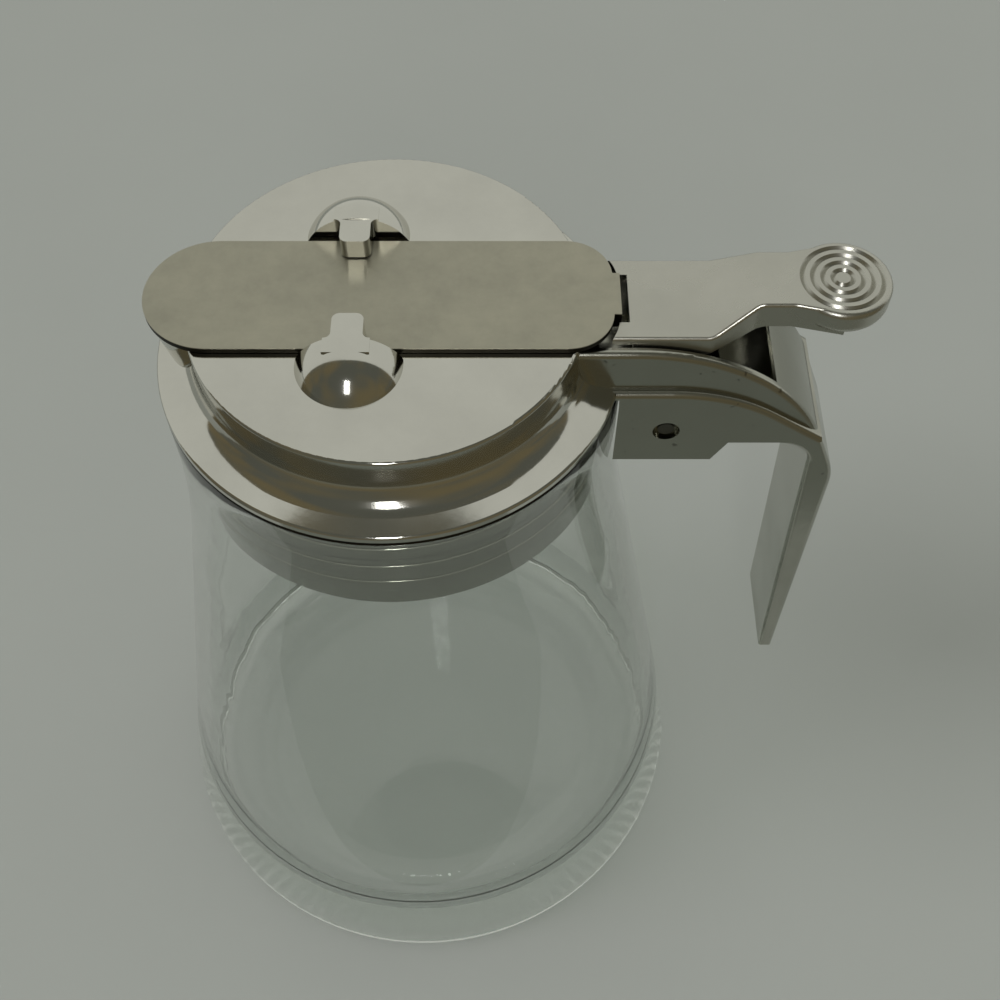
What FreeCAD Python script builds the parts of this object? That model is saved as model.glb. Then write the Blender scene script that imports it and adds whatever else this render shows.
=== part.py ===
"""Syrup dispenser: a flared glass jar under a plated cap whose thumb lever draws back a steel shutter.

The frame has +Z up and its origin on the table under the middle of the jar. The spout points
along -X and the handle along +X. Everything is in millimetres, at rest with the shutter closed.
"""
import FreeCAD, Part
import math
import os

import Sketcher

# Driving sizes. Each is written once here and goes into the document's sheet under the same name.
SIZES = {
    # glass jar
    "jar_height": 130.0,
    "jar_base_radius": 52.4,
    "jar_neck_radius": 33.0,
    "neck_length": 22.0,
    "jar_shoulder_round": 180.0,
    "jar_heel_round": 4.6,
    "glass_wall": 3.4,
    "glass_floor": 8.0,
    "floor_round": 13.0,
    "foot_thickening": 1.0,
    "punt_depth": 1.4,
    "bearing_ring": 5.5,
    # cap
    "flange_width": 5.5,
    "cap_rise": 10.0,
    "cap_wall": 1.5,
    "cove_round": 4.0,
    "flange_thickness": 1.0,
    "flange_fall": 1.6,
    "rim_round": 0.45,
    "skirt_depth": 19.4,
    "thread_gap": 0.5,
    "pour_hole_radius": 4.0,
    "throat_radius": 3.2,
    "throat_shift": 2.0,
    "spout_top_radius": 8.6,
    "spout_foot_radius": 6.9,
    "spout_set_in": 3.1,
    # keepers, the two lugs that hold the shutter down
    "keeper_radius": 7.2,
    "keeper_height": 4.6,
    "keeper_gap": 0.9,
    "keeper_set_left": 4.4,
    "keeper_set_out": 1.0,
    "finger_width": 4.2,
    "finger_reach": 4.2,
    "finger_root": 2.4,
    "finger_flare": 1.0,
    "finger_drop": 0.3,
    "finger_clearance": 0.25,
    # shutter
    "shutter_width": 19.4,
    "shutter_thickness": 0.9,
    "shutter_lift": 0.1,
    "tail_overhang": 3.4,
    "tail_round": 6.4,
    "tongue_width": 7.4,
    "tongue_depth": 2.6,
    "tongue_thickness": 1.0,
    # handle casting
    "arm_width": 17.6,
    "arm_wall": 1.3,
    "arm_drop": 1.5,
    "arm_bend": 30.6,
    "arm_run": 15.5,
    "arm_lean": 8.0,
    "arm_end_drop": 20.2,
    "cheek_thickness": 1.1,
    "cheek_rise": 1.2,
    "cheek_set_back": 6.9,
    "cheek_bend": 25.0,
    "belly_drop": 14.2,
    "belly_run": 7.2,
    "belly_step": 4.2,
    "rim_soft": 0.6,
    "arm_edge_round": 0.9,
    "cheek_edge_round": 0.95,
    "channel_floor": 2.2,
    "mouth_past": 4.0,
    "mouth_depth": 9.5,
    "fender_wall": 1.5,
    "jar_clearance": 0.6,
    "grip_set_in": 0.6,
    "grip_out": 3.6,
    "grip_root": 4.8,
    "grip_tip": 2.3,
    "grip_bottom": 51.0,
    "grip_fall": 9.1,
    "grip_crest": 14.0,
    "grip_crook": 5.0,
    "grip_edge_round": 0.8,
    "grip_lean": 0.6,
    # pivot
    "pin_radius": 1.2,
    "pin_out": 6.3,
    "pin_drop": 17.2,
    "pin_set_in": 0.4,
    "recess_depth": 1.5,
    "recess_margin": 0.75,
    "hinge_gap": 0.06,
    # thumb lever
    "lever_side_gap": 0.3,
    "lever_gap": 0.8,
    "slot_play": 0.3,
    "lever_skin": 1.2,
    "deck_run": 4.7,
    "deck_skirt": 3.4,
    "front_skirt": 2.6,
    "skirt_set_back": 2.5,
    "ramp_round": 2.6,
    "neck_width": 9.8,
    "ramp_run": 6.0,
    "neck_rise": 4.1,
    "neck_depth": 4.2,
    "pad_run": 11.4,
    "pad_radius": 6.8,
    "pad_depth": 4.2,
    "lever_edge_round": 0.5,
    "ring_cut": 0.36,
    "ear_wall": 1.8,
    "ear_top_width": 7.6,
}

# Sizes that follow from others: each seats, lines up or passes through by the sum written here.
TIED = {
    "jar_flare_height": "jar_height - neck_length",
    "disc_radius": "jar_neck_radius - flange_width",
    "spout_reach": "disc_radius - spout_set_in",
    "throat_reach": "spout_reach - throat_shift",
    "shutter_tip": "spout_reach + spout_top_radius",
    "shutter_tail": "disc_radius + tail_overhang",
    "cheek_width": "arm_width + cheek_thickness * 2",
    "grip_width": "arm_width - grip_set_in * 2",
    "lever_width": "arm_width - arm_wall * 2 - lever_side_gap * 2",
    "pin_reach": "jar_neck_radius + pin_out",
    "skirt_start": "shutter_tail + skirt_set_back",
    "deck_end": "pin_reach + deck_run",
    "neck_start": "deck_end + ramp_run",
    "pad_reach": "neck_start + pad_run",
    "mouth_end": "neck_start + mouth_past",
    "arm_turn": "pin_reach + arm_run",
    "arm_end": "arm_turn + arm_lean",
    "cheek_turn": "arm_turn - cheek_set_back",
    "belly_end": "pin_reach + belly_run",
    "grip_reach": "arm_end + grip_out",
    "recess_radius": "pin_radius + recess_margin",
    "ear_radius": "pin_radius + ear_wall",
}
PAD_RINGS = 4

doc = FreeCAD.newDocument("syrup_dispenser")
sheet = doc.addObject("Spreadsheet::Sheet", "sizes")
for row, (alias, entry) in enumerate({**SIZES, **TIED}.items(), start=1):
    sheet.set(f"A{row}", alias)
    sheet.set(f"B{row}", f"={entry}")
    sheet.setAlias(f"B{row}", alias)
doc.recompute()


def bound(words):
    """The expression for a sum of sizes such as 'jar_neck_radius - glass_wall / 2'."""
    return " ".join(f"sizes.{word}" if hasattr(sheet, word) else word for word in words.split())


def size(words):
    """The number the same sum comes to. A factor or divisor follows its size: 'arm_width / 2'."""
    total = 0.0
    sign = 1.0
    term = 0.0
    action = "+"
    for word in words.split():
        if word in ("+", "-"):
            total += sign * term
            sign = 1.0 if word == "+" else -1.0
            term = 0.0
            action = "+"
        elif word in ("*", "/"):
            action = word
        else:
            number = getattr(sheet, word) if hasattr(sheet, word) else float(word)
            if action == "*":
                term *= number
            elif action == "/":
                term /= number
            else:
                term = number
    return total + sign * term


# Heights and reaches that several pieces share, each a sum of sizes.
RIM = "jar_height"
TOP = "jar_height + cap_rise"
FLANGE_TOP = "jar_height + flange_thickness"
SHUTTER_BED = TOP + " + shutter_lift"
SHUTTER_TOP = SHUTTER_BED + " + shutter_thickness"
ARM_TOP = TOP + " - arm_drop"
ARM_END_HEIGHT = ARM_TOP + " - arm_end_drop"
BELLY = "jar_height - belly_drop"
BELLY_RAISED = BELLY + " + belly_step"
CHEEK_TOP = "jar_height + cheek_rise"
PIN_HEIGHT = TOP + " - pin_drop"
PAD_TOP = TOP + " + neck_rise"


def sketch_on(body, plane, name):
    """A new sketch on one of the body's own origin planes, or a free one when body is None."""
    if body is None:
        sketch = doc.addObject("Sketcher::SketchObject", name)
        turn = {"XY_Plane": FreeCAD.Rotation(), "XZ_Plane": FreeCAD.Rotation(FreeCAD.Vector(1, 0, 0), 90)}
        sketch.Placement = FreeCAD.Placement(FreeCAD.Vector(), turn[plane])
        return sketch
    sketch = body.newObject("Sketcher::SketchObject", name)
    support = [feature for feature in body.Origin.OriginFeatures if feature.Role == plane][0]
    sketch.AttachmentSupport = (support, [""])
    sketch.MapMode = "FlatFace"
    return sketch


def bind(sketch, kind, *args):
    """Adds a constraint whose last argument is a sum of sizes, and ties it to the sheet."""
    index = sketch.addConstraint(Sketcher.Constraint(kind, *args[:-1], size(args[-1])))
    sketch.setExpression(f"Constraints[{index}]", bound(args[-1]))


def draw(sketch, corners):
    """Draws a closed outline through corners (x, y) or (x, y, round), all given as sums of sizes."""
    count = len(corners)
    places = [FreeCAD.Vector(size(corner[0]), size(corner[1]), 0) for corner in corners]
    rounds = [size(corner[2]) if len(corner) > 2 else 0.0 for corner in corners]
    starts, ends = [], []
    for index, place in enumerate(places):
        back = (places[index - 1] - place).normalize()
        ahead = (places[(index + 1) % count] - place).normalize()
        half = back.getAngle(ahead) / 2
        reach = rounds[index] / math.tan(half) if rounds[index] else 0.0
        ends.append(place + back * reach)
        starts.append(place + ahead * reach)
    lines = []
    for index in range(count):
        lines.append(sketch.addGeometry(Part.LineSegment(starts[index], ends[(index + 1) % count])))
    for index, place in enumerate(places):
        before, after = lines[index - 1], lines[index]
        if not rounds[index]:
            sketch.addConstraint(Sketcher.Constraint("Coincident", before, 2, after, 1))
            bind(sketch, "DistanceX", -1, 1, after, 1, corners[index][0])
            bind(sketch, "DistanceY", -1, 1, after, 1, corners[index][1])
            continue
        back = (places[index - 1] - place).normalize()
        ahead = (places[(index + 1) % count] - place).normalize()
        half = back.getAngle(ahead) / 2
        centre = place + (back + ahead).normalize() * (rounds[index] / math.sin(half))
        middle = centre + (place - centre).normalize() * rounds[index]
        leftward = (ends[index] - centre).cross(starts[index] - centre).z > 0
        first = 1 if leftward else 2
        tips = (ends[index], starts[index]) if leftward else (starts[index], ends[index])
        arc = sketch.addGeometry(Part.Arc(tips[0], middle, tips[1]))
        corner = sketch.addGeometry(Part.Point(place), True)
        sketch.addConstraint(Sketcher.Constraint("Tangent", before, 2, arc, first))
        sketch.addConstraint(Sketcher.Constraint("Tangent", after, 1, arc, 3 - first))
        sketch.addConstraint(Sketcher.Constraint("PointOnObject", corner, 1, before))
        sketch.addConstraint(Sketcher.Constraint("PointOnObject", corner, 1, after))
        bind(sketch, "DistanceX", -1, 1, corner, 1, corners[index][0])
        bind(sketch, "DistanceY", -1, 1, corner, 1, corners[index][1])
        bind(sketch, "Radius", arc, corners[index][2])
    return sketch


def new_body(name):
    body = doc.addObject("PartDesign::Body", name)
    body.Label = name
    return body


def turned(body, sketch, kind="PartDesign::Revolution"):
    """Turns a sketch on the XZ plane once round the upright axis, to add or to cut."""
    before = body.Shape.Volume if body.Tip else 0.0
    feature = body.newObject(kind, sketch.Name + "_turn")
    feature.Profile = sketch
    feature.ReferenceAxis = (sketch, ["V_Axis"])
    feature.Angle = 360.0
    sketch.Visibility = False
    doc.recompute()
    change = body.Shape.Volume - before
    if (change > 0) != (kind == "PartDesign::Revolution"):
        raise ValueError(f"{feature.Name} changed nothing")
    return feature


def padded(body, sketch, length, kind="PartDesign::Pad"):
    """Pads or pockets a sketch to both sides of its plane by half of the length each way."""
    before = body.Shape.Volume if body.Tip else 0.0
    feature = body.newObject(kind, sketch.Name + ("_pad" if kind == "PartDesign::Pad" else "_cut"))
    feature.Profile = sketch
    feature.Midplane = True
    feature.setExpression("Length", bound(length))
    sketch.Visibility = False
    doc.recompute()
    change = body.Shape.Volume - before
    if (change > 0) != (kind == "PartDesign::Pad"):
        raise ValueError(f"{feature.Name} changed nothing")
    return feature


def softened(body, wanted, radius):
    """Rounds those edges of the body for which wanted(edge) is true."""
    base = body.Tip
    names = [f"Edge{number}" for number, edge in enumerate(base.Shape.Edges, start=1) if wanted(edge)]
    if not names:
        raise ValueError(f"no edge to round on {body.Label}")
    feature = body.newObject("PartDesign::Fillet", body.Name + "_round")
    feature.Base = (base, names)
    feature.setExpression("Radius", bound(radius))
    doc.recompute()
    return feature


def ring_edge(radius, height):
    """A test for the level ring edge of one radius at one height."""
    def test(edge):
        ring = edge.Curve
        if not isinstance(ring, Part.Circle):
            return False
        return abs(ring.Radius - size(radius)) < 0.01 and abs(ring.Center.z - size(height)) < 0.01
    return test


def side_edge(width, height, bend):
    """A test for the upper outline of a face of the arm: its level run and its bend."""
    def test(edge):
        box = edge.BoundBox
        if abs(box.YMin - box.YMax) > 0.001 or abs(abs(box.YMin) - size(width) / 2) > 0.001:
            return False
        curved = isinstance(edge.Curve, Part.Circle) and abs(edge.Curve.Radius - size(bend)) < 0.01
        return curved or box.ZMin > size(height) - 0.001
    return test


def grip_edge(edge):
    """Whether an edge lies on one of the grip's two side faces."""
    box = edge.BoundBox
    return abs(box.YMin - box.YMax) < 0.001 and abs(abs(box.YMin) - size("grip_width") / 2) < 0.001


def extruded(sketch, length, name):
    """A prism of a free sketch, to both sides of its plane."""
    prism = doc.addObject("Part::Extrusion", name)
    prism.Base = sketch
    prism.DirMode = "Normal"
    prism.Symmetric = True
    prism.Solid = True
    prism.setExpression("LengthFwd", bound(length))
    sketch.Visibility = False
    return prism


def glass_jar():
    """A straight neck that bends into a cone, a rounded heel, a thick floor and a shallow punt."""
    body = new_body("glass_jar")
    outside = draw(sketch_on(body, "XZ_Plane", "jar_outside"), [
        ("0", "0"),
        ("jar_base_radius", "0", "jar_heel_round"),
        ("jar_neck_radius", "jar_flare_height", "jar_shoulder_round"),
        ("jar_neck_radius", RIM),
        ("0", RIM),
    ])
    turned(body, outside)
    inside = draw(sketch_on(body, "XZ_Plane", "jar_inside"), [
        ("0", "glass_floor"),
        ("jar_base_radius - glass_wall - foot_thickening", "glass_floor", "floor_round"),
        ("jar_neck_radius - glass_wall", "jar_flare_height", "jar_shoulder_round"),
        ("jar_neck_radius - glass_wall", RIM + " + 1"),
        ("0", RIM + " + 1"),
    ])
    turned(body, inside, "PartDesign::Groove")
    punt = draw(sketch_on(body, "XZ_Plane", "jar_punt"), [
        ("0", "0 - 1"),
        ("jar_base_radius - jar_heel_round - bearing_ring + punt_depth", "0 - 1"),
        ("jar_base_radius - jar_heel_round - bearing_ring - punt_depth", "punt_depth"),
        ("0", "punt_depth"),
    ])
    turned(body, punt, "PartDesign::Groove")
    return body


CAP_OUTSIDE = [
    ("disc_radius", TOP),
    ("disc_radius", FLANGE_TOP + " + flange_fall", "cove_round"),
    ("jar_neck_radius", FLANGE_TOP),
]


def cap_shell():
    """A flat disc on a short wall, a cove that falls away to the flange, and a skirt inside the neck."""
    body = new_body("cap_shell")
    skirt = "jar_neck_radius - glass_wall - thread_gap"
    shell = draw(sketch_on(body, "XZ_Plane", "cap_shell"), [
        ("0", TOP),
        *CAP_OUTSIDE,
        ("jar_neck_radius", RIM),
        (skirt, RIM),
        (skirt, RIM + " - skirt_depth"),
        (skirt + " - cap_wall", RIM + " - skirt_depth"),
        (skirt + " - cap_wall", RIM),
        ("disc_radius - cap_wall", RIM + " + cap_wall"),
        ("disc_radius - cap_wall", TOP + " - cap_wall"),
        ("0", TOP + " - cap_wall"),
    ])
    turned(body, shell)
    softened(body, ring_edge("disc_radius", TOP), "rim_round")
    softened(body, ring_edge("jar_neck_radius", FLANGE_TOP), "rim_round")
    return body


def drilled(name, radius, reach, foot):
    """An upright cutter on the spout's side, from one height up through the disc."""
    drill = doc.addObject("Part::Cylinder", name)
    drill.setExpression("Radius", bound(radius))
    drill.setExpression("Height", bound("cap_rise * 2"))
    drill.setExpression("Placement.Base.x", bound("0 - " + reach))
    drill.setExpression("Placement.Base.z", bound(foot))
    return drill


def cap():
    """The cap with its round spout boss, which flares upwards. The pour hole starts inside the cap as
    a narrower throat and widens through the boss."""
    boss = doc.addObject("Part::Cone", "spout_boss")
    boss.setExpression("Radius1", bound("spout_foot_radius"))
    boss.setExpression("Radius2", bound("spout_top_radius"))
    boss.setExpression("Height", bound("cap_rise - flange_thickness"))
    boss.setExpression("Placement.Base.x", bound("0 - spout_reach"))
    boss.setExpression("Placement.Base.z", bound(FLANGE_TOP))
    outer = joined("Part::Fuse", "cap_and_boss", cap_shell(), boss)
    bore = drilled("pour_bore", "pour_hole_radius", "spout_reach", FLANGE_TOP + " + cap_wall")
    throat = drilled("pour_throat", "throat_radius", "throat_reach", RIM)
    return joined("Part::Cut", "cap", outer, joined("Part::Fuse", "pour_passage", bore, throat))


def block(name, across, deep, tall, place):
    """A box from sums of sizes: its three lengths, and the place of its low corner."""
    box = doc.addObject("Part::Box", name)
    box.setExpression("Length", bound(across))
    box.setExpression("Width", bound(deep))
    box.setExpression("Height", bound(tall))
    for letter, words in zip("xyz", place):
        box.setExpression(f"Placement.Base.{letter}", bound(words))
    return box


def eased(base, wanted, radius):
    """Rounds those edges of a free solid for which wanted(edge) is true."""
    doc.recompute()
    numbers = [number for number, edge in enumerate(base.Shape.Edges, start=1) if wanted(edge)]
    if not numbers:
        raise ValueError(f"no edge to round on {base.Name}")
    rounded = doc.addObject("Part::Fillet", base.Name + "_eased")
    rounded.Base = base
    rounded.Edges = [(number, size(radius), size(radius)) for number in numbers]
    doc.recompute()
    return rounded


def joined(kind, name, first, second):
    """A boolean of two objects: Part::Fuse, Part::Cut or Part::Common."""
    whole = doc.addObject(kind, name)
    whole.Base = first
    whole.Tool = second
    whole.Refine = True
    return whole


def keeper():
    """A low dome cut off square beside the shutter, with a rounded finger that flares out of it."""
    near = "0 - shutter_width / 2 - keeper_gap"
    ball_radius = "( keeper_radius * keeper_radius + keeper_height * keeper_height ) / keeper_height / 2"
    ball = doc.addObject("Part::Sphere", "keeper_ball")
    ball.setExpression("Radius", bound(ball_radius))
    ball.setExpression("Placement.Base.x", bound("0 - keeper_set_left"))
    ball.setExpression("Placement.Base.y", bound(near + " - keeper_set_out"))
    ball.setExpression("Placement.Base.z", bound(TOP + " + keeper_height - " + ball_radius))
    cut = block("keeper_cut", "keeper_radius * 2", "keeper_radius * 2", "keeper_height + 1",
                ("0 - keeper_set_left - keeper_radius", near + " - keeper_radius * 2", TOP))
    dome = joined("Part::Common", "keeper_dome", ball, cut)
    left = "0 - keeper_set_left - finger_width / 2"
    right = "0 - keeper_set_left + finger_width / 2"
    plan = draw(sketch_on(None, "XY_Plane", "finger_plan"), [
        (left + " - finger_flare", near + " - finger_root"),
        (right + " + finger_flare", near + " - finger_root"),
        (right + " + finger_flare", near),
        (right, near, "finger_flare * 0.9"),
        (right, near + " + finger_reach", "finger_width / 4"),
        (left, near + " + finger_reach", "finger_width / 4"),
        (left, near, "finger_flare * 0.9"),
        (left + " - finger_flare", near),
    ])
    tall = "keeper_height - finger_drop - shutter_lift - shutter_thickness - finger_clearance"
    under = SHUTTER_TOP + " + finger_clearance"
    plan.setExpression("Placement.Base.z", bound(under + " + ( " + tall + " ) / 2"))
    return joined("Part::Fuse", "keeper_front", dome, extruded(plan, tall, "finger"))


def mirrored(name, piece):
    """The same piece on the other side of the plane through the spout and the handle."""
    twin = doc.addObject("Part::Mirroring", name)
    twin.Source = piece
    twin.Normal = FreeCAD.Vector(0, 1, 0)
    twin.Label = name
    return twin


def shutter():
    """A flat plate, round at the pouring end, with a short tongue bent down at the lever's end."""
    half = "shutter_width / 2"
    plan = draw(sketch_on(None, "XY_Plane", "shutter_plan"), [
        ("0 - shutter_tip", "0 - " + half, half + " - 0.01"),
        ("shutter_tail", "0 - " + half, "tail_round"),
        ("shutter_tail", half, "tail_round"),
        ("0 - shutter_tip", half, half + " - 0.01"),
    ])
    plan.setExpression("Placement.Base.z", bound(SHUTTER_BED + " + shutter_thickness / 2"))
    plate = extruded(plan, "shutter_thickness", "shutter_plate")
    tongue = block("shutter_tongue", "tongue_thickness + 1", "tongue_width", "tongue_depth",
                   ("shutter_tail - 1", "0 - tongue_width / 2", SHUTTER_TOP + " - tongue_depth"))
    return joined("Part::Fuse", "shutter", plate, tongue)


def handle_casting():
    """The arm: a channel with thicker cheeks, whose top bends down as a fender, cut to fit the cap."""
    body = new_body("handle_casting")
    inner = "disc_radius - cap_wall"
    sides = draw(sketch_on(body, "XZ_Plane", "arm_sides"), [
        (inner, ARM_TOP),
        ("arm_turn", ARM_TOP, "arm_bend"),
        ("arm_end", ARM_END_HEIGHT),
        ("belly_end + belly_step / 2", BELLY_RAISED),
        ("belly_end", BELLY),
        (inner, BELLY),
    ])
    padded(body, sides, "arm_width")
    softened(body, side_edge("arm_width", ARM_TOP, "arm_bend"), "arm_edge_round")
    cheeks = draw(sketch_on(body, "XZ_Plane", "arm_cheeks"), [
        (inner, CHEEK_TOP),
        ("cheek_turn", CHEEK_TOP, "cheek_bend"),
        ("arm_end - rim_soft", BELLY_RAISED + " + rim_soft"),
        ("arm_end - rim_soft", BELLY_RAISED),
        ("belly_end + belly_step / 2", BELLY_RAISED),
        ("belly_end", BELLY),
        (inner, BELLY),
    ])
    padded(body, cheeks, "cheek_width")
    softened(body, side_edge("cheek_width", CHEEK_TOP, "cheek_bend"), "cheek_edge_round")
    outer_end = "jar_neck_radius + jar_clearance + arm_wall"
    cavity = draw(sketch_on(body, "XZ_Plane", "arm_cavity"), [
        ("disc_radius + arm_wall", ARM_TOP + " - fender_wall * 1.5"),
        ("arm_turn - fender_wall", ARM_TOP + " - fender_wall * 1.5", "arm_bend * 0.75"),
        ("arm_end - fender_wall * 2.35", BELLY_RAISED + " + channel_floor / 2"),
        ("belly_end + belly_step / 2", BELLY_RAISED + " + channel_floor / 2"),
        ("belly_end", BELLY + " + channel_floor"),
        (outer_end, BELLY + " + channel_floor"),
        (outer_end, FLANGE_TOP + " + arm_wall"),
        ("disc_radius + arm_wall", FLANGE_TOP + " + arm_wall"),
    ])
    padded(body, cavity, "arm_width - arm_wall * 2", "PartDesign::Pocket")
    mouth = draw(sketch_on(body, "XZ_Plane", "arm_mouth"), [
        ("disc_radius + arm_wall", ARM_TOP + " + 1"),
        ("mouth_end", ARM_TOP + " + 1"),
        ("mouth_end", ARM_TOP + " - mouth_depth"),
        (outer_end, ARM_TOP + " - fender_wall * 2"),
        ("disc_radius + arm_wall", ARM_TOP + " - fender_wall * 2"),
    ])
    padded(body, mouth, "arm_width - arm_wall * 2", "PartDesign::Pocket")
    seat = draw(sketch_on(body, "XZ_Plane", "arm_seat"), [
        ("0", TOP + " + 1"),
        ("disc_radius", TOP + " + 1"),
        *CAP_OUTSIDE[1:],
        ("jar_neck_radius", RIM),
        ("jar_neck_radius + jar_clearance", RIM),
        ("jar_neck_radius + jar_clearance", BELLY + " - 1"),
        ("0", BELLY + " - 1"),
    ])
    turned(body, seat, "PartDesign::Groove")
    return body


def grip():
    """The strap that a hand holds: it leaves the arm's end, turns down and tapers, with soft corners."""
    strap = draw(sketch_on(None, "XZ_Plane", "grip_strap"), [
        ("belly_end + belly_step", BELLY_RAISED + " + rim_soft"),
        ("arm_end", ARM_END_HEIGHT),
        ("grip_reach", ARM_END_HEIGHT + " - grip_fall", "grip_crest"),
        ("grip_reach + grip_lean", "grip_bottom"),
        ("grip_reach + grip_lean - grip_tip", "grip_bottom"),
        ("grip_reach - grip_root", BELLY, "grip_crook"),
        ("belly_end + belly_step", BELLY_RAISED + " - channel_floor / 2"),
    ])
    return eased(extruded(strap, "grip_width", "grip_blank"), grip_edge, "grip_edge_round")


def cross_rod(name, radius, length):
    """A rod on the pivot's line, along Y and centred on the lever's middle."""
    rod = doc.addObject("Part::Cylinder", name)
    rod.setExpression("Radius", bound(radius))
    rod.setExpression("Height", bound(length))
    rod.Placement = FreeCAD.Placement(FreeCAD.Vector(), FreeCAD.Rotation(FreeCAD.Vector(1, 0, 0), -90))
    rod.setExpression("Placement.Base.x", bound("pin_reach"))
    rod.setExpression("Placement.Base.y", f"-({bound(length)}) / 2")
    rod.setExpression("Placement.Base.z", bound(PIN_HEIGHT))
    return rod


def handle():
    """The casting with its pivot hole, counterbored on both cheeks so that the pin's ends show."""
    casting = joined("Part::Fuse", "whole_casting", handle_casting(), grip())
    hole = cross_rod("pivot_hole", "pin_radius", "cheek_width + 2")
    bored = joined("Part::Cut", "bored_casting", casting, hole)
    for name, side, whole in (("recess_front", -1, "front_bored"), ("recess_back", 1, "handle")):
        recess = cross_rod(name, "recess_radius", "recess_depth * 2")
        recess.setExpression("Placement.Base.y", bound(f"cheek_width / {2 * side} - recess_depth"))
        bored = joined("Part::Cut", whole, bored, recess)
    return bored


def pivot_pin():
    """A plain pin whose ends stand a little below the cheeks' faces."""
    return cross_rod("pivot_pin", "pin_radius", "cheek_width - pin_set_in * 2")


def lever_form(name, inset, drop):
    """The lever's form: its side view and its plan, each a prism, in common. The inset draws the top
    and the sides in, and the drop lowers the underside."""
    left = "shutter_tail - tail_round"
    side = draw(sketch_on(None, "XZ_Plane", name + "_side"), [
        (left, f"{TOP} - {inset}"),
        ("deck_end", f"{TOP} - {inset}", "ramp_round"),
        ("neck_start", f"{PAD_TOP} - {inset}", "ramp_round"),
        ("pad_reach", f"{PAD_TOP} - {inset}"),
        ("pad_reach", f"{PAD_TOP} - neck_depth - {drop}"),
        ("neck_start + 1", f"{PAD_TOP} - neck_depth - {drop}", "ramp_round"),
        ("deck_end - 1", f"{TOP} - deck_skirt - {drop}"),
        ("skirt_start", f"{TOP} - front_skirt - {drop}"),
        ("skirt_start", f"{TOP} - lever_skin - {drop}"),
        (left, f"{TOP} - lever_skin - {drop}"),
    ])
    half_plan = [
        (left, "lever_width / 2"),
        ("deck_end", "lever_width / 2", "ramp_round"),
        ("neck_start", "neck_width / 2", "ramp_round"),
        ("pad_reach - pad_radius", "neck_width / 2", "ramp_round"),
        ("pad_reach", "pad_radius - ring_cut"),
    ]
    near = [(corner[0], f"0 - {corner[1]} + {inset}", *corner[2:]) for corner in half_plan]
    far = [(corner[0], f"{corner[1]} - {inset}", *corner[2:]) for corner in reversed(half_plan)]
    near[-1] = ("pad_reach", f"0 - pad_radius + ring_cut + {inset}")
    plan = draw(sketch_on(None, "XY_Plane", name + "_plan"), near + far)
    plan.setExpression("Placement.Base.z", bound(TOP))
    across = extruded(side, "lever_width + 2", name + "_across")
    upright = extruded(plan, "neck_rise * 5", name + "_upright")
    return joined("Part::Common", name, across, upright)


def spun(name, corners):
    """A solid of revolution about the thumb pad's middle, from an outline (radius out, height)."""
    outline = draw(sketch_on(None, "XZ_Plane", name + "_outline"), corners)
    solid = doc.addObject("Part::Revolution", name)
    solid.Source = outline
    solid.Axis = FreeCAD.Vector(0, 0, 1)
    solid.Angle = 360
    solid.Solid = True
    solid.setExpression("Base.x", bound("pad_reach"))
    outline.Visibility = False
    return solid


def thumb_pad():
    """A round pad with a soft edge and a well rounded underside."""
    return spun("thumb_pad", [
        ("pad_reach", PAD_TOP + " - pad_depth"),
        ("pad_reach + pad_radius", PAD_TOP + " - pad_depth", "pad_depth / 2.5"),
        ("pad_reach + pad_radius", PAD_TOP, "pad_depth / 5"),
        ("pad_reach", PAD_TOP),
    ])


def ring_cutter():
    """Concentric vee grooves for the pad's face, joined by a thin sheet above it."""
    above = PAD_TOP + " + ring_cut"
    teeth = []
    for ring in range(1, PAD_RINGS + 1):
        groove = f"pad_reach + pad_radius * {ring} / {PAD_RINGS + 1}"
        teeth += [
            (groove + " - ring_cut * 2", above),
            (groove, PAD_TOP + " - ring_cut"),
            (groove + " + ring_cut * 2", above),
        ]
    return spun("pad_rings", [("pad_reach", above), *teeth, ("pad_reach + pad_radius", above),
                              ("pad_reach + pad_radius", above + " + 1"), ("pad_reach", above + " + 1")])


def folded_edge(edge):
    """Whether an edge of the lever's form lies on its sides and runs along its top."""
    box = edge.BoundBox
    top_low = size(TOP) - 0.001
    along = box.XMax - box.XMin > 0.2
    return along and box.ZMin > top_low and box.XMax < size("pad_reach") + 0.001


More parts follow.
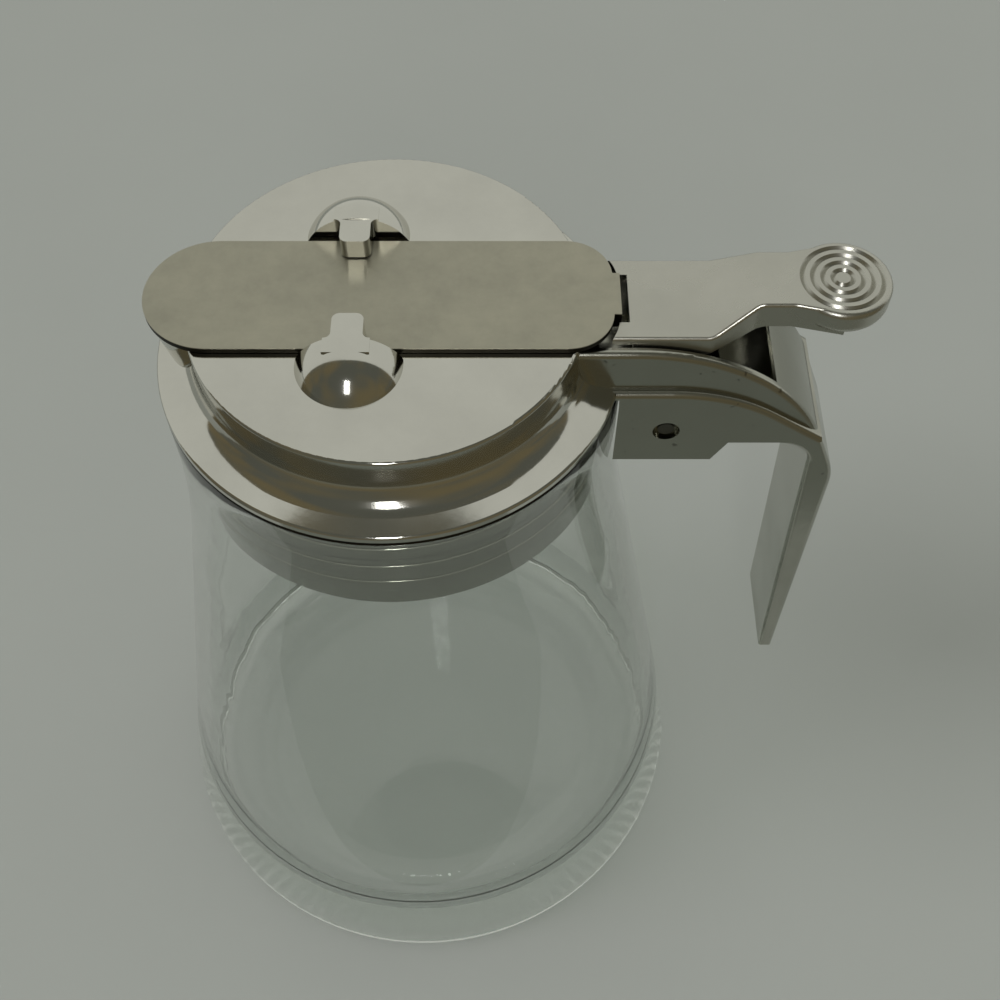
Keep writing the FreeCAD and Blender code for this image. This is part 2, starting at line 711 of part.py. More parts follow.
def lever():
    """A folded lever: a skirted deck, a raised neck, a ringed thumb pad and two ears down to the pivot."""
    outside = eased(lever_form("lever_outside", "0", "0"), folded_edge, "lever_edge_round")
    inside = lever_form("lever_inside", "lever_skin", "neck_depth")
    shell = joined("Part::Cut", "lever_shell", outside, inside)
    outline = draw(sketch_on(None, "XZ_Plane", "ear_outline"), [
        ("pin_reach - ear_top_width / 2", TOP + " - lever_skin / 2"),
        ("pin_reach - ear_radius", PIN_HEIGHT + " - ear_radius", "ear_radius * 0.8"),
        ("pin_reach + ear_radius", PIN_HEIGHT + " - ear_radius", "ear_radius * 0.8"),
        ("pin_reach + ear_top_width / 2", TOP + " - lever_skin / 2"),
    ])
    between = block("ear_space", "ear_top_width * 2", "lever_width - lever_skin * 2", "pin_drop * 2",
                    ("pin_reach - ear_top_width", "lever_skin - lever_width / 2", TOP + " - pin_drop * 2"))
    ears = joined("Part::Cut", "lever_ears", extruded(outline, "lever_width", "ear_prism"), between)
    eared = joined("Part::Fuse", "eared_lever", shell, ears)
    padded_lever = joined("Part::Fuse", "padded_lever", eared, thumb_pad())
    whole = joined("Part::Cut", "ringed_lever", padded_lever, ring_cutter())
    half = "shutter_width / 2 + lever_gap"
    notch_plan = draw(sketch_on(None, "XY_Plane", "notch_plan"), [
        ("0", "0 - shutter_width / 2 - lever_gap"),
        ("shutter_tail + lever_gap", "0 - shutter_width / 2 - lever_gap", "tail_round + lever_gap"),
        ("shutter_tail + lever_gap", half, "tail_round + lever_gap"),
        ("0", half),
    ])
    notch_plan.setExpression("Placement.Base.z", bound(TOP))
    notch = extruded(notch_plan, "front_skirt * 2", "shutter_notch")
    whole = joined("Part::Cut", "notched_lever", whole, notch)
    slot_across = "tongue_thickness * 2 + lever_gap + slot_play"
    slot_low = ("shutter_tail - 1", "0 - tongue_width / 2 - lever_gap * 0.75", TOP + " - front_skirt")
    slot = block("tongue_slot", slot_across, "tongue_width + lever_gap * 1.5", "front_skirt * 2", slot_low)
    whole = joined("Part::Cut", "slotted_lever", whole, slot)
    bore = cross_rod("lever_bore", "pin_radius + hinge_gap", "lever_width + 1")
    return joined("Part::Cut", "lever", whole, bore)


near_keeper = keeper()
pieces = [
    glass_jar(),
    cap(),
    near_keeper,
    mirrored("keeper_back", near_keeper),
    shutter(),
    handle(),
    pivot_pin(),
    lever(),
]
doc.recompute()
failed = [item.Name for item in doc.Objects if {"Invalid", "Error"} & set(item.State)]
if failed:
    raise ValueError(f"failed: {failed}")
os.makedirs("parts", exist_ok=True)
for piece in pieces:
    if piece.Shape.isNull() or not piece.Shape.isValid():
        raise ValueError(f"{piece.Label} has no valid shape")
    piece.Shape.exportStep(f"parts/{piece.Label}.step")
    print(piece.Label, len(piece.Shape.Solids), round(piece.Shape.Volume), piece.Shape.BoundBox)
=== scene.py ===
"""Looks for a syrup dispenser: a flared glass jar, a plated cap with a handle, and a thumb lever.

Laid out as an add-on and run as a script. The metal pieces keep their CAD meshes and get their
finishes here. The jar is worked out again as one smooth turned surface, and the screw threads
that show through its neck are added.
"""
import math

import bmesh
import bpy
import numpy as np
from bpy.props import FloatProperty, FloatVectorProperty, IntProperty, PointerProperty
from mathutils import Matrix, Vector


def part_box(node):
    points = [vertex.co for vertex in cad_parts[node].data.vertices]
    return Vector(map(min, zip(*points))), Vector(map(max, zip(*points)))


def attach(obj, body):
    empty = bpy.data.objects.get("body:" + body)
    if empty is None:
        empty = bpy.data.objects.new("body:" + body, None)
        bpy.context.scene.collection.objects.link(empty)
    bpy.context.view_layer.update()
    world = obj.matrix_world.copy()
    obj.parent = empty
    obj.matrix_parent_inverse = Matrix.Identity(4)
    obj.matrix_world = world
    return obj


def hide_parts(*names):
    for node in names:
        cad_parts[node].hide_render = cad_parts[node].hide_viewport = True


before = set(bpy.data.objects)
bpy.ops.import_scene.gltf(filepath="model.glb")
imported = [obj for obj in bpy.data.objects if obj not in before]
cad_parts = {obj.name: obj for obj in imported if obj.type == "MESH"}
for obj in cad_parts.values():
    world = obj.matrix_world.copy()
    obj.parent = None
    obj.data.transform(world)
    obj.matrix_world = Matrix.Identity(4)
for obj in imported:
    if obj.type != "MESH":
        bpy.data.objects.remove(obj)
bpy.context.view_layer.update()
JAR_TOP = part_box("glass_jar")[1].z
CAP_LOW, CAP_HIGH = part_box("cap")
SHUTTER_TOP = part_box("shutter")[1].z

bl_info = {
    "name": "Syrup dispenser looks",
    "version": (1, 0, 0),
    "blender": (4, 5, 0),
    "location": "3D View > Sidebar > Dispenser",
    "description": "Glass, plating, threads and stage of a thumb-lever syrup dispenser",
    "category": "Object",
}

MM = 0.001
TURN = 2 * math.pi
# A colour Mix node's sockets go by number, because their names repeat for each kind of value.
SHARE, FIRST, SECOND, MIXED = 0, 6, 7, 2


def linear(code):
    """An sRGB hex colour as linear red, green, blue and alpha."""
    parts = [int(code[i:i + 2], 16) / 255 for i in (1, 3, 5)]
    light = [c / 12.92 if c <= 0.04045 else ((c + 0.055) / 1.055) ** 2.4 for c in parts]
    return (*light, 1.0)


def length(name, about, value):
    """A setting that is a length in metres."""
    return FloatProperty(name=name, description=about, default=value,
                         unit="LENGTH", subtype="DISTANCE")


def colour(name, about, code):
    """A setting that is a colour, from its sRGB hex value."""
    return FloatVectorProperty(name=name, description=about, default=linear(code), size=4,
                               subtype="COLOR")


class GlassSettings(bpy.types.PropertyGroup):
    base_radius: length("Base radius", "Where the cone would meet the table", 52.4 * MM)
    neck_radius: length("Neck radius", "Outside of the straight neck", CAP_HIGH.x)
    flare_height: length("Flare height", "Where the neck bends out into the cone", 108 * MM)
    shoulder_round: length("Shoulder round", "Radius of that bend", 180 * MM)
    heel_round: length("Heel round", "Radius round the jar's foot", 4.6 * MM)
    wall: length("Wall", "Thickness of the glass", 3.4 * MM)
    floor: length("Floor", "Height of the inner floor", 8 * MM)
    floor_round: length("Floor round", "Radius between the inner floor and wall", 13 * MM)
    punt: length("Punt", "Height of the domed hollow under the floor", 2.4 * MM)
    punt_radius: length("Punt radius", "Edge of that hollow", 46.5 * MM)
    bars: IntProperty(name="Knurl bars", description="Short moulded bars round the foot",
                      default=108)
    bar_height: length("Bar height", "How far the bars are pressed in", 0.13 * MM)
    bar_radius: length("Bar radius", "Middle of the ring of bars", 41.5 * MM)
    bar_length: length("Bar length", "How long each bar is, from the middle outwards", 1.6 * MM)
    seam_turn: FloatProperty(name="Seam turn", description="Where the mould seam stands",
                             default=2.62, unit="ROTATION", subtype="ANGLE")
    seam: length("Seam", "How far the mould seam stands out at the foot", 0.12 * MM)
    seam_rise: length("Seam rise", "Height over which the seam fades out", 12 * MM)
    body: colour("Body", "What one face of the glass lets through", "#FBFCFB")
    depth: colour("Depth", "Tint that builds up through thick glass", "#E2E7E2")


class MetalSettings(bpy.types.PropertyGroup):
    plating: colour("Plating", "Nickel and chrome on the castings", "#CFCEC6")
    pressed: colour("Pressed steel", "Plated sheet of the thumb lever", "#C0BFB6")
    # Darker than the plating: bare zinc, and painted shade for the skirt inside the jar's neck.
    zinc_and_neck_shade: colour("Zinc", "Bare casting of the skirt", "#84857C")
    casting: colour("Casting", "Worn plate on the handle", "#B0B0A6")
    pin: colour("Pin", "Tarnished steel of the pivot pin", "#5A5850")
    shutter: colour("Shutter", "Mottled sheet of the shutter", "#B3B0A0")
    thread_height: length("Thread height", "How far the threads stand out of the skirt", 0.22 * MM)
    thread_pitch: length("Thread pitch", "Rise of the thread in one turn", 4.2 * MM)


class StageSettings(bpy.types.PropertyGroup):
    table: colour("Table", "Pale floor under the dispenser", "#919490")
    room: colour("Room", "Pale walls and ceiling round it", "#D0D1CA")
    # These three colour a glowing card seen only in mirroring surfaces: a painted reflection of
    # the unlit room, and painted shade on the table this side of the dispenser.
    dark: colour("Dark side", "The unlit side of the room", "#5E5F57")
    amber: colour("Amber", "Warm patches on the unlit side", "#716850")
    apron: colour("Apron", "Shaded table this side of the dispenser", "#72766E")


def add(tree, kind, inputs=(), **settings):
    """Adds a node, sets its fields, and gives each named input a value or a link."""
    node = tree.nodes.new(kind)
    for name, value in settings.items():
        setattr(node, name, value)
    for key, value in dict(inputs).items():
        if isinstance(value, bpy.types.NodeSocket):
            tree.links.new(value, node.inputs[key])
        else:
            node.inputs[key].default_value = value
    return node


def new_material(name):
    """A material with an empty tree, its tree, and the Object coordinates of its piece."""
    material = bpy.data.materials.new(name)
    material.use_nodes = True
    tree = material.node_tree
    tree.nodes.clear()
    return material, tree, add(tree, "ShaderNodeTexCoord").outputs["Object"]


def new_piece(name, points, closed=False):
    """A mesh of a grid of points, row after row.

    Four neighbours make a face. closed joins each row's last point to its first.
    """
    along, across = points.shape[:2]
    row, column = np.meshgrid(np.arange(along - 1), np.arange(across if closed else across - 1),
                              indexing="ij")
    next_column = (column + 1) % across
    corners = [row * across + column, row * across + next_column,
               (row + 1) * across + next_column, (row + 1) * across + column]
    quads = np.stack([corner.ravel() for corner in corners], axis=1)
    mesh = bpy.data.meshes.new(name)
    mesh.from_pydata(points.reshape(-1, 3).tolist(), [], quads.tolist())
    mesh.validate()
    piece = bpy.data.objects.new(name, mesh)
    bpy.context.scene.collection.objects.link(piece)
    return piece


def merged(piece):
    """Merges doubled points, turns every face outwards and shades the piece smooth."""
    work = bmesh.new()
    work.from_mesh(piece.data)
    bmesh.ops.remove_doubles(work, verts=work.verts, dist=0.001 * MM)
    bmesh.ops.recalc_face_normals(work, faces=work.faces)
    work.to_mesh(piece.data)
    work.free()
    piece.data.polygons.foreach_set("use_smooth", np.ones(len(piece.data.polygons), bool))
    return piece


def rounded_profile(corners):
    """Points along straight runs joined by arcs, from corners (radius, height, round).

    Each arc touches both runs at round / tan(half the corner's angle) from the corner, and its
    points lie on a circle about the point on the bisector at round / sin(half the angle). They
    stand up to 2.5 mm and 0.14 rad apart, whichever gives more.
    """
    apart, swing = 2.5 * MM, 0.14
    points = [np.array(corners[0][:2])[None]]
    for before, corner, after in zip(corners, corners[1:], corners[2:]):
        place = np.array(corner[:2])
        back = np.array(before[:2]) - place
        ahead = np.array(after[:2]) - place
        back /= np.linalg.norm(back)
        ahead /= np.linalg.norm(ahead)
        half = math.acos(np.clip(back @ ahead, -1, 1)) / 2
        middle = back + ahead
        centre = place + middle / np.linalg.norm(middle) * corner[2] / math.sin(half)
        start = place + back * corner[2] / math.tan(half) - centre
        end = place + ahead * corner[2] / math.tan(half) - centre
        sweep = math.atan2(start[0] * end[1] - start[1] * end[0], start @ end)
        steps = max(3, int(abs(sweep) * corner[2] / apart), int(abs(sweep) / swing))
        angles = np.linspace(0, sweep, steps)
        turned = np.stack([start[0] * np.cos(angles) - start[1] * np.sin(angles),
                           start[0] * np.sin(angles) + start[1] * np.cos(angles)], axis=1)
        points.append(centre + turned)
    points.append(np.array(corners[-1][:2])[None])
    return np.concatenate(points)


def jar_profile(glass):
    """The jar's half section: from the middle of the punt out to the foot, up the outside, over
    the lip, and down the inside to the middle of the floor.

    The straight runs are cut every 5 mm, so that smooth shading stays even, and every 0.5 mm
    under the foot, where the bars are.
    """
    base = glass.base_radius
    inner_neck = glass.neck_radius - glass.wall
    inner_base = base - glass.wall - 1 * MM
    punt_round, foot_round, lip_round = 80 * MM, 3 * MM, 0.8 * MM
    # Halfway out, the punt still has this share of its height, which makes it a dome.
    punt_fullness = 0.85
    profile = rounded_profile([
        (0, glass.punt, 0),
        (glass.punt_radius / 2, glass.punt * punt_fullness, punt_round),
        (glass.punt_radius, 0, foot_round),
        (base, 0, glass.heel_round),
        (glass.neck_radius, glass.flare_height, glass.shoulder_round),
        (glass.neck_radius, JAR_TOP, lip_round),
        (inner_neck, JAR_TOP, lip_round),
        (inner_neck, glass.flare_height, glass.shoulder_round),
        (inner_base, glass.floor, glass.floor_round),
        (0, glass.floor, 0),
    ])
    gaps = np.linalg.norm(np.diff(profile, axis=0), axis=1)
    past_bars = profile[1:, 0] > glass.bar_radius - glass.bar_length
    under = past_bars & (profile[:-1, 1] < 1 * MM)
    apart = np.where(under, 0.5 * MM, 5 * MM)
    runs = [np.linspace(a, b, max(1, int(pieces)), endpoint=False)
            for a, b, pieces in zip(profile, profile[1:], gaps / apart)]
    return np.concatenate(runs + [profile[-1:]])


def soda_glass(name, body, depth):
    """Pressed soda-lime glass: clear, faintly grey-green and wavy, with a few dull smears."""
    material, tree, place = new_material(name)
    # Pressed glass keeps slow waves of about 9 mm, which bend what is seen through it.
    waves = add(tree, "ShaderNodeTexNoise", {
        "Vector": place, "Scale": 1 / (9 * MM), "Detail": 1.0})
    # Handling marks, from 12 mm smears down to under 1 mm, dull the polish a little.
    smears = add(tree, "ShaderNodeTexNoise", {
        "Vector": place, "Scale": 1 / (12 * MM), "Detail": 4.0})
    dull = add(tree, "ShaderNodeMapRange", {
        "Value": smears.outputs["Fac"], "From Min": 0.5, "From Max": 0.75,
        "To Min": 0.0, "To Max": 0.045})
    bump = add(tree, "ShaderNodeBump", {
        "Height": waves.outputs["Fac"], "Strength": 0.04, "Distance": 0.5 * MM})
    shader = add(tree, "ShaderNodeBsdfPrincipled", {
        "Base Color": body, "Roughness": dull.outputs["Result"], "IOR": 1.51,
        "Transmission Weight": 1.0, "Normal": bump.outputs["Normal"]})
    # Light passes the glass on its way to the table, so its shadow stays soft and pale.
    path = add(tree, "ShaderNodeLightPath")
    clear = add(tree, "ShaderNodeBsdfTransparent", {"Color": linear("#FAFBFA")})
    mix = add(tree, "ShaderNodeMixShader", {
        0: path.outputs["Is Shadow Ray"], 1: shader.outputs["BSDF"], 2: clear.outputs["BSDF"]})
    # The thick base takes on a grey-green tint that the thin wall hardly has.
    tint = add(tree, "ShaderNodeVolumeAbsorption", {"Color": depth, "Density": 30.0})
    add(tree, "ShaderNodeOutputMaterial", {
        "Surface": mix.outputs["Shader"], "Volume": tint.outputs["Volume"]})
    return material


def plated_metal(name, base, roughness, wear, grain, relief, pits=0.0, bare=None):
    """A metal dulled unevenly by handling, over a fine relief, with dark corrosion pits.

    pits is how dark they are, from 0 for none to 1. bare gives the colour of the unplated metal,
    which also carries painted shade, and the height under which it shows.
    """
    material, tree, place = new_material(name)
    # Smears of 14 mm, down to half a millimetre, dull the polish by up to wear and darken it.
    smears = add(tree, "ShaderNodeTexNoise", {
        "Vector": place, "Scale": 1 / (14 * MM), "Detail": 5.0, "Roughness": 0.6})
    dull = add(tree, "ShaderNodeMapRange", {
        "Value": smears.outputs["Fac"], "From Min": 0.35, "From Max": 0.7,
        "To Min": roughness, "To Max": roughness + wear})
    shade = add(tree, "ShaderNodeMapRange", {
        "Value": smears.outputs["Fac"], "From Min": 0.3, "From Max": 0.75,
        "To Min": 1.0, "To Max": 0.88})
    tone = add(tree, "ShaderNodeMix", {
        SHARE: 1.0, FIRST: base, SECOND: shade.outputs["Result"]},
        data_type="RGBA", blend_type="MULTIPLY")
    # Pits are the peaks of a 1.6 mm noise: scattered specks well under a millimetre across.
    specks = add(tree, "ShaderNodeTexNoise", {
        "Vector": place, "Scale": 1 / (1.6 * MM), "Detail": 2.0})
    dots = add(tree, "ShaderNodeMapRange", {
        "Value": specks.outputs["Fac"], "From Min": 0.71, "From Max": 0.75,
        "To Min": 0.0, "To Max": pits})
    pitted = add(tree, "ShaderNodeMix", {
        SHARE: dots.outputs["Result"], FIRST: tone.outputs[MIXED], SECOND: linear("#2B271E")},
        data_type="RGBA")
    face = pitted.outputs[MIXED]
    # Below the given height the face takes the darker colour: bare metal, and painted shade.
    if bare:
        bare_and_shaded_colour, bare_and_shaded_height = bare
        height = add(tree, "ShaderNodeSeparateXYZ", {"Vector": place})
        low = add(tree, "ShaderNodeMath", {0: height.outputs["Z"], 1: bare_and_shaded_height},
                  operation="LESS_THAN")
        face = add(tree, "ShaderNodeMix", {
            SHARE: low.outputs["Value"], FIRST: face, SECOND: bare_and_shaded_colour},
            data_type="RGBA").outputs[MIXED]
    fine = add(tree, "ShaderNodeTexNoise", {"Vector": place, "Scale": 1 / grain, "Detail": 3.0})
    bump = add(tree, "ShaderNodeBump", {
        "Height": fine.outputs["Fac"], "Strength": 0.12, "Distance": relief})
    shader = add(tree, "ShaderNodeBsdfPrincipled", {
        "Base Color": face, "Metallic": 1.0, "Roughness": dull.outputs["Result"],
        "Normal": bump.outputs["Normal"]})
    add(tree, "ShaderNodeOutputMaterial", {"Surface": shader.outputs["BSDF"]})
    return material


def sheet_steel(name, base, face):
    """Mill-finished sheet: mottled and matt on its face, at height face, with painted shade on its
    sheared edge and below, which stands for the shadowed gap under the plate."""
    material, tree, place = new_material(name)
    # Cloudy mottling from 6 mm patches down to 0.4 mm.
    clouds = add(tree, "ShaderNodeTexNoise", {
        "Vector": place, "Scale": 1 / (6 * MM), "Detail": 4.0, "Roughness": 0.65})
    shade = add(tree, "ShaderNodeMapRange", {
        "Value": clouds.outputs["Fac"], "From Min": 0.3, "From Max": 0.7,
        "To Min": 0.8, "To Max": 1.06})
    tone = add(tree, "ShaderNodeMix", {
        SHARE: 1.0, FIRST: base, SECOND: shade.outputs["Result"]},
        data_type="RGBA", blend_type="MULTIPLY")
    dull = add(tree, "ShaderNodeMapRange", {
        "Value": clouds.outputs["Fac"], "From Min": 0.3, "From Max": 0.7,
        "To Min": 0.42, "To Max": 0.54})
    # Painted shade: from 0.1 mm under the face down, the sheared edge and the underside turn near
    # black, for the shadowed gap under the plate.
    height = add(tree, "ShaderNodeSeparateXYZ", {"Vector": place})
    low = add(tree, "ShaderNodeMapRange", {
        "Value": height.outputs["Z"], "From Min": face - 0.16 * MM, "From Max": face - 0.1 * MM,
        "To Min": 1.0, "To Max": 0.0})
    gap_shade = add(tree, "ShaderNodeMix", {
        SHARE: low.outputs["Result"], FIRST: tone.outputs[MIXED], SECOND: linear("#28261F")},
        data_type="RGBA")
    # The rolled surface has a 0.5 mm grain.
    grain = add(tree, "ShaderNodeTexNoise", {
        "Vector": place, "Scale": 1 / (0.5 * MM), "Detail": 2.0})
    bump = add(tree, "ShaderNodeBump", {
        "Height": grain.outputs["Fac"], "Strength": 0.2, "Distance": 0.02 * MM})
    shader = add(tree, "ShaderNodeBsdfPrincipled", {
        "Base Color": gap_shade.outputs[MIXED], "Metallic": 1.0, "Roughness": dull.outputs["Result"],
        "Normal": bump.outputs["Normal"]})
    add(tree, "ShaderNodeOutputMaterial", {"Surface": shader.outputs["BSDF"]})
    return material


def finish_node(name, material):
    """Gives a CAD node a material in place of its packed one."""
    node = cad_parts[name]
    node.data.materials.clear()
    node.data.materials.append(material)


class DispenserGlass(bpy.types.Operator):
    """Turns the jar as one smooth surface, with its punt, foot bars and mould seam"""
    bl_idname = "dispenser.glass"
    bl_label = "Glass jar"

    def execute(self, context):
        glass = context.scene.dispenser_glass
        profile = jar_profile(glass)
        radius, height = profile[:, :1], profile[:, 1:]
        points_per_bar = 6
        around = np.linspace(0, TURN, glass.bars * points_per_bar, endpoint=False)[None]
        # The two-part mould leaves a faint ridge on each side of the foot, on the outside only:
        # a bell across the seam, 0.5 mm from its middle to its flank, times a bell in height.
        outside_share = 0.6
        outside = (np.arange(len(profile)) < len(profile) * outside_share)[:, None]
        off_seam = np.abs((around % math.pi) - glass.seam_turn) * glass.base_radius
        ridge = np.exp(-((off_seam / (0.5 * MM)) ** 2))
        ridge = ridge * np.exp(-((height / glass.seam_rise) ** 2))
        clear_of_ends = (height > 1 * MM) * (height < JAR_TOP - 2 * MM)
        seamed = radius + glass.seam * ridge * outside * clear_of_ends
        # A ring of short bars is pressed into the underside: a wave round the jar, which a steep
        # bell fades in and out across the ring.
        across = (radius - glass.bar_radius) / (glass.bar_length / 2)
        band = np.exp(-(across ** 4)) * (height < 1 * MM)
        lift = glass.bar_height * band * (0.5 - 0.5 * np.cos(around * glass.bars))
        points = np.stack([seamed * np.cos(around), seamed * np.sin(around), height + lift],
                          axis=2)
        jar = merged(new_piece("jar_glass", points, closed=True))
        jar.data.materials.append(soda_glass("pressed_soda_glass", glass.body, glass.depth))
        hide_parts("glass_jar")
        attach(jar, "base")
        return {"FINISHED"}


class DispenserThreads(bpy.types.Operator):
    """Winds the cap's screw thread round the skirt inside the neck"""
    bl_idname = "dispenser.threads"
    bl_label = "Skirt threads"

    def execute(self, context):
        metal = context.scene.dispenser_metal
        glass = context.scene.dispenser_glass
        skirt = glass.neck_radius - glass.wall - 0.5 * MM
        start = CAP_LOW.z + 1.6 * MM
        turns, steps, points_across = 3.1, 640, 14
        # Half the thread's width, as a share of its pitch, and the share of that left at its ends.
        half_width, least_width = 0.34, 0.15
        # The thread sinks this far into the skirt at its back, and half as far at its ends.
        sunk = 0.1 * MM
        # Each end rises as a quarter of a sine wave, over 1/28 of the length.
        along = np.linspace(0, 1, steps)[:, None]
        rise = np.sin(np.pi * np.clip(along * 14, 0, 0.5))
        fade = rise * np.sin(np.pi * np.clip((1 - along) * 14, 0, 0.5))
        # Carried along the helix is a closed hump: half a loop stands proud as a blunted sine,
        # and the other half lies flat inside the skirt.
        loop = np.linspace(0, TURN, points_across, endpoint=False)[None]
        offset = metal.thread_pitch * half_width * np.cos(loop)
        crown = np.clip(np.sin(loop), 0, 1) ** 0.8
        proud = metal.thread_height * crown - sunk * (crown == 0)
        radius = skirt + proud * fade - sunk / 2 * (1 - fade)
        climb = metal.thread_pitch * turns * along
        height = start + climb + offset * (least_width + (1 - least_width) * fade)
        angle = TURN * turns * along
        points = np.stack([radius * np.cos(angle), radius * np.sin(angle), height], axis=2)
        thread = merged(new_piece("skirt_thread", points, closed=True))
        thread.data.materials.append(bpy.data.materials["nickel_chrome_plate"])
        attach(thread, "base")
        return {"FINISHED"}


class DispenserMetal(bpy.types.Operator):
    """Gives the castings, the lever, the shutter and the pin their finishes"""
    bl_idname = "dispenser.metal"
    bl_label = "Metal finishes"

    def execute(self, context):
        metal = context.scene.dispenser_metal
        # Nickel-chrome plate on the cast cap: a mirror with handling haze and a fine orange peel.
        # Below the jar's top, its skirt and threads take a darker colour: bare zinc, and painted
        # shade for the dim neck round them.
        plate = plated_metal(
            "nickel_chrome_plate", metal.plating, roughness=0.06, wear=0.07, grain=1.5 * MM,
            relief=0.02 * MM, bare=(metal.zinc_and_neck_shade, JAR_TOP - 0.05 * MM))
        # The same plate on the cast handle is greyer and duller, with a cast skin and small pits.
        cast = plated_metal(
            "worn_plate_on_casting", metal.casting, roughness=0.14, wear=0.12, grain=3 * MM,
            relief=0.1 * MM, pits=0.5)
        # Plated pressed steel: softer than the cap, with no pits.
        pressed = plated_metal(
            "plated_pressed_steel", metal.pressed, roughness=0.24, wear=0.1, grain=0.8 * MM,
            relief=0.02 * MM)
        # The pin's ends are bare steel, tarnished dark and pitted.
        tarnished = plated_metal(
            "tarnished_pin_steel", metal.pin, roughness=0.3, wear=0.2, grain=0.6 * MM,
            relief=0.05 * MM, pits=1.0)
        sheet = sheet_steel("mottled_sheet_steel", metal.shutter, SHUTTER_TOP)
        for name in ("cap", "keeper_front", "keeper_back"):
            finish_node(name, plate)
        finish_node("handle", cast)
        finish_node("lever", pressed)
        finish_node("shutter", sheet)
        finish_node("pivot_pin", tarnished)
        return {"FINISHED"}


def painted_board(name, paint):
    """Matt painted board, whose tone drifts by 3% over patches of 60 mm."""
    material, tree, place = new_material(name)
    patches = add(tree, "ShaderNodeTexNoise", {
        "Vector": place, "Scale": 1 / (60 * MM), "Detail": 4.0})
    tone = add(tree, "ShaderNodeMapRange", {
        "Value": patches.outputs["Fac"], "To Min": 0.97, "To Max": 1.03})
    coat = add(tree, "ShaderNodeMix", {
        SHARE: 1.0, FIRST: paint, SECOND: tone.outputs["Result"]},
        data_type="RGBA", blend_type="MULTIPLY")
    shader = add(tree, "ShaderNodeBsdfPrincipled", {
        "Base Color": coat.outputs[MIXED], "Roughness": 0.75})
    add(tree, "ShaderNodeOutputMaterial", {"Surface": shader.outputs["BSDF"]})
    return material


def painted_room_reflection(name, dark, amber, apron):
    """Painted reflection of the room's unlit side: an even glow, dark with warm patches of about
    0.8 m, that turns within 340 mm of the dispenser into the lighter apron, painted shade on
    the table this side of it."""
    material, tree, place = new_material(name)
    patches = add(tree, "ShaderNodeTexNoise", {"Vector": place, "Scale": 1.3, "Detail": 1.0})
    warm = add(tree, "ShaderNodeMapRange", {
        "Value": patches.outputs["Fac"], "From Min": 0.4, "From Max": 0.66})
    wall = add(tree, "ShaderNodeMix", {
        SHARE: warm.outputs["Result"], FIRST: dark, SECOND: amber}, data_type="RGBA")
    away = add(tree, "ShaderNodeVectorMath", {0: place}, operation="LENGTH")
    level = add(tree, "ShaderNodeMapRange", {
        "Value": away.outputs["Value"], "From Min": 160 * MM, "From Max": 340 * MM})
    shade = add(tree, "ShaderNodeMix", {
        SHARE: level.outputs["Result"], FIRST: apron, SECOND: wall.outputs[MIXED]},
        data_type="RGBA")
    glow = add(tree, "ShaderNodeEmission", {"Color": shade.outputs[MIXED], "Strength": 1.0})
    add(tree, "ShaderNodeOutputMaterial", {"Surface": glow.outputs["Emission"]})
    return material


def half_dome(width, depth, height, near_edge):
    """The camera's half of a dome over the table, with a strip that runs back along the table.

    At angle a round from the -Y axis and angle r up, a point is at (width sin a cos r,
    -depth cos a cos r, height sin r). The strip joins the dome's foot to Y = -near_edge.
    """
    around, up = np.meshgrid(np.radians(np.linspace(-100, 100, 41)),
                             np.radians(np.linspace(89.9, 0, 24)), indexing="ij")
    above_table = 1 * MM
    dome = np.stack([width * np.sin(around) * np.cos(up), -depth * np.cos(around) * np.cos(up),
                     height * np.sin(up) + above_table], axis=2)
    strip = dome[:, -1:] * (1, 0, 1) - (0, near_edge, 0)
    return np.concatenate([dome, strip], axis=1)


def lamp(name, kind, power, place, aim):
    """A light of one kind and power that faces a point."""
    light = bpy.data.lights.new(name, kind)
    light.energy = power
    body = bpy.data.objects.new(name, light)
    body.location = place
    body.rotation_euler = (Vector(aim) - Vector(place)).to_track_quat("-Z", "Y").to_euler()
    bpy.context.scene.collection.objects.link(body)
    return body


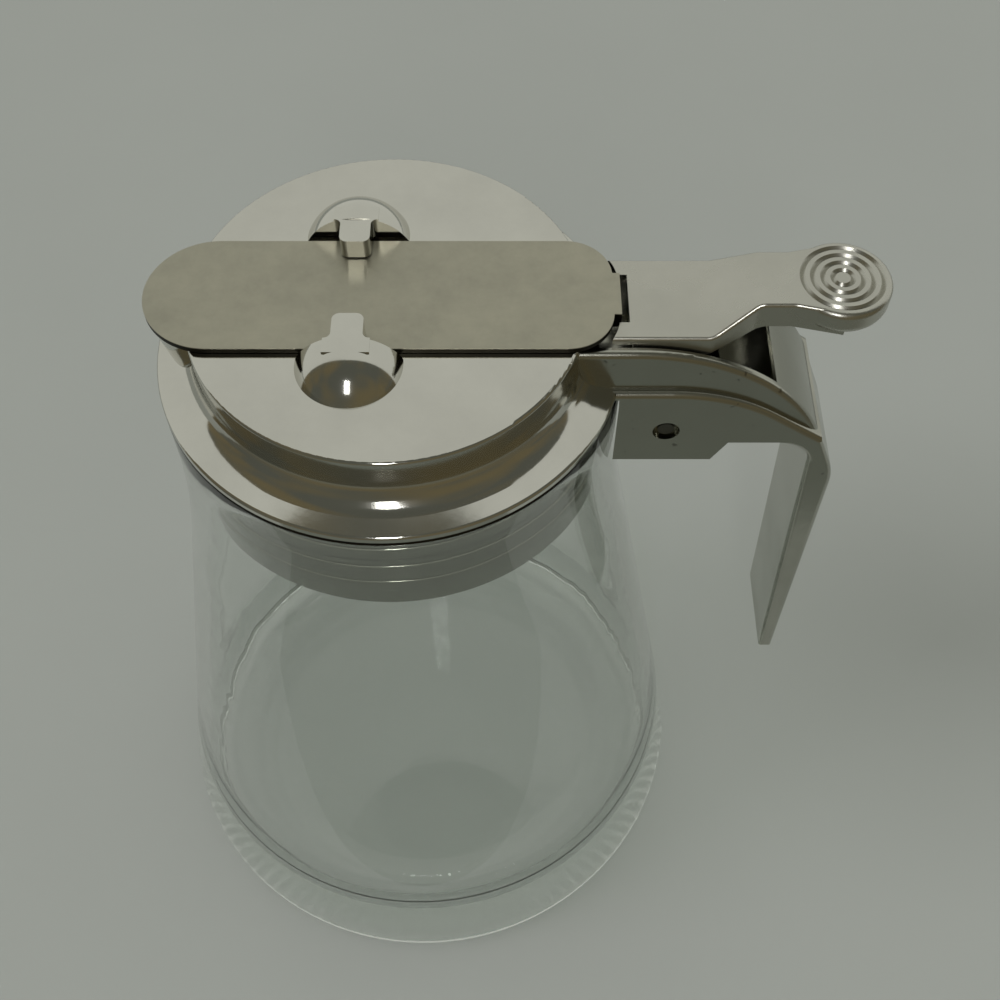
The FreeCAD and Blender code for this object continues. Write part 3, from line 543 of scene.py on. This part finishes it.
class DispenserStage(bpy.types.Operator):
    """Lays the table, lights the room and sets the camera"""
    bl_idname = "dispenser.stage"
    bl_label = "Stage"

    def execute(self, context):
        stage = context.scene.dispenser_stage
        scene = context.scene
        # The table ends far outside any view, and lies just under the foot of the jar.
        reach, clearance = 3.0, 0.1 * MM
        x, y = np.meshgrid([-reach, reach], [-reach, reach])
        floor = new_piece("table_top", np.stack([x, y, 0 * x - clearance], axis=2))
        floor.data.materials.append(painted_board("painted_board", stage.table))

        # A card that only polished metal and glass mirror is a painted reflection of the unlit
        # side of the room. It reaches along the table to just outside the camera's view.
        dome = half_dome(width=2.0, depth=0.62, height=1.3, near_edge=68 * MM)
        card = new_piece("unlit_side_card", dome)
        card.data.materials.append(
            painted_room_reflection("unlit_room_side", stage.dark, stage.amber, stage.apron))
        card.visible_camera = False
        card.visible_diffuse = False
        card.visible_shadow = False
        card.visible_transmission = False

        world = bpy.data.worlds.new("pale_room")
        scene.world = world
        world.use_nodes = True
        tree = world.node_tree
        tree.nodes.clear()
        sky = add(tree, "ShaderNodeBackground", {"Color": stage.room, "Strength": 1.0})
        add(tree, "ShaderNodeOutputWorld", {"Surface": sky.outputs["Background"]})

        # The main light, from the spout's side, leaves the soft shadow on the handle's side, and
        # the small one puts the sharp highlight on the lug, the cove and the rim.
        side = lamp("side_light", "SUN", 1.7, place=(-0.85, -0.15, 0.85), aim=(0, 0, 0.06))
        side.data.angle = math.radians(26)
        side.visible_glossy = False
        side.visible_transmission = False
        window = lamp("window_light", "AREA", 0.5, place=(-0.02, -0.39, 0.44), aim=(0, 0, 0.14))
        window.data.shape = "RECTANGLE"
        window.data.size, window.data.size_y = 60 * MM, 200 * MM

        eye = bpy.data.cameras.new("camera")
        eye.lens = 46.8
        eye.sensor_width = 36.0
        eye.clip_start = 10 * MM
        camera = bpy.data.objects.new("camera", eye)
        camera.location = (0.0155, -0.1196, 0.2737)
        camera.rotation_euler = (math.radians(32.99), 0, 0)
        scene.collection.objects.link(camera)
        scene.camera = camera
        scene.view_settings.view_transform = "Standard"
        return {"FINISHED"}


OPERATORS = (DispenserGlass, DispenserMetal, DispenserThreads, DispenserStage)
GROUPS = {
    "dispenser_glass": GlassSettings,
    "dispenser_metal": MetalSettings,
    "dispenser_stage": StageSettings,
}


class DispenserPanel(bpy.types.Panel):
    """Lists the pieces of the dispenser and their settings"""
    bl_idname = "VIEW3D_PT_dispenser"
    bl_label = "Syrup dispenser"
    bl_space_type = "VIEW_3D"
    bl_region_type = "UI"
    bl_category = "Dispenser"

    def draw(self, context):
        for operator in OPERATORS:
            self.layout.operator(operator.bl_idname, text=operator.bl_label)
        for name, group in GROUPS.items():
            box = self.layout.box()
            for field in group.__annotations__:
                box.prop(getattr(context.scene, name), field)


def register():
    for group in GROUPS.values():
        bpy.utils.register_class(group)
    for name, group in GROUPS.items():
        setattr(bpy.types.Scene, name, PointerProperty(type=group))
    for item in (*OPERATORS, DispenserPanel):
        bpy.utils.register_class(item)


def unregister():
    for item in (DispenserPanel, *reversed(OPERATORS)):
        bpy.utils.unregister_class(item)
    for name, group in GROUPS.items():
        delattr(bpy.types.Scene, name)
        bpy.utils.unregister_class(group)


def main():
    register()
    for operator in OPERATORS:
        group, name = operator.bl_idname.split(".")
        getattr(getattr(bpy.ops, group), name)()


if __name__ == "__main__":
    main()
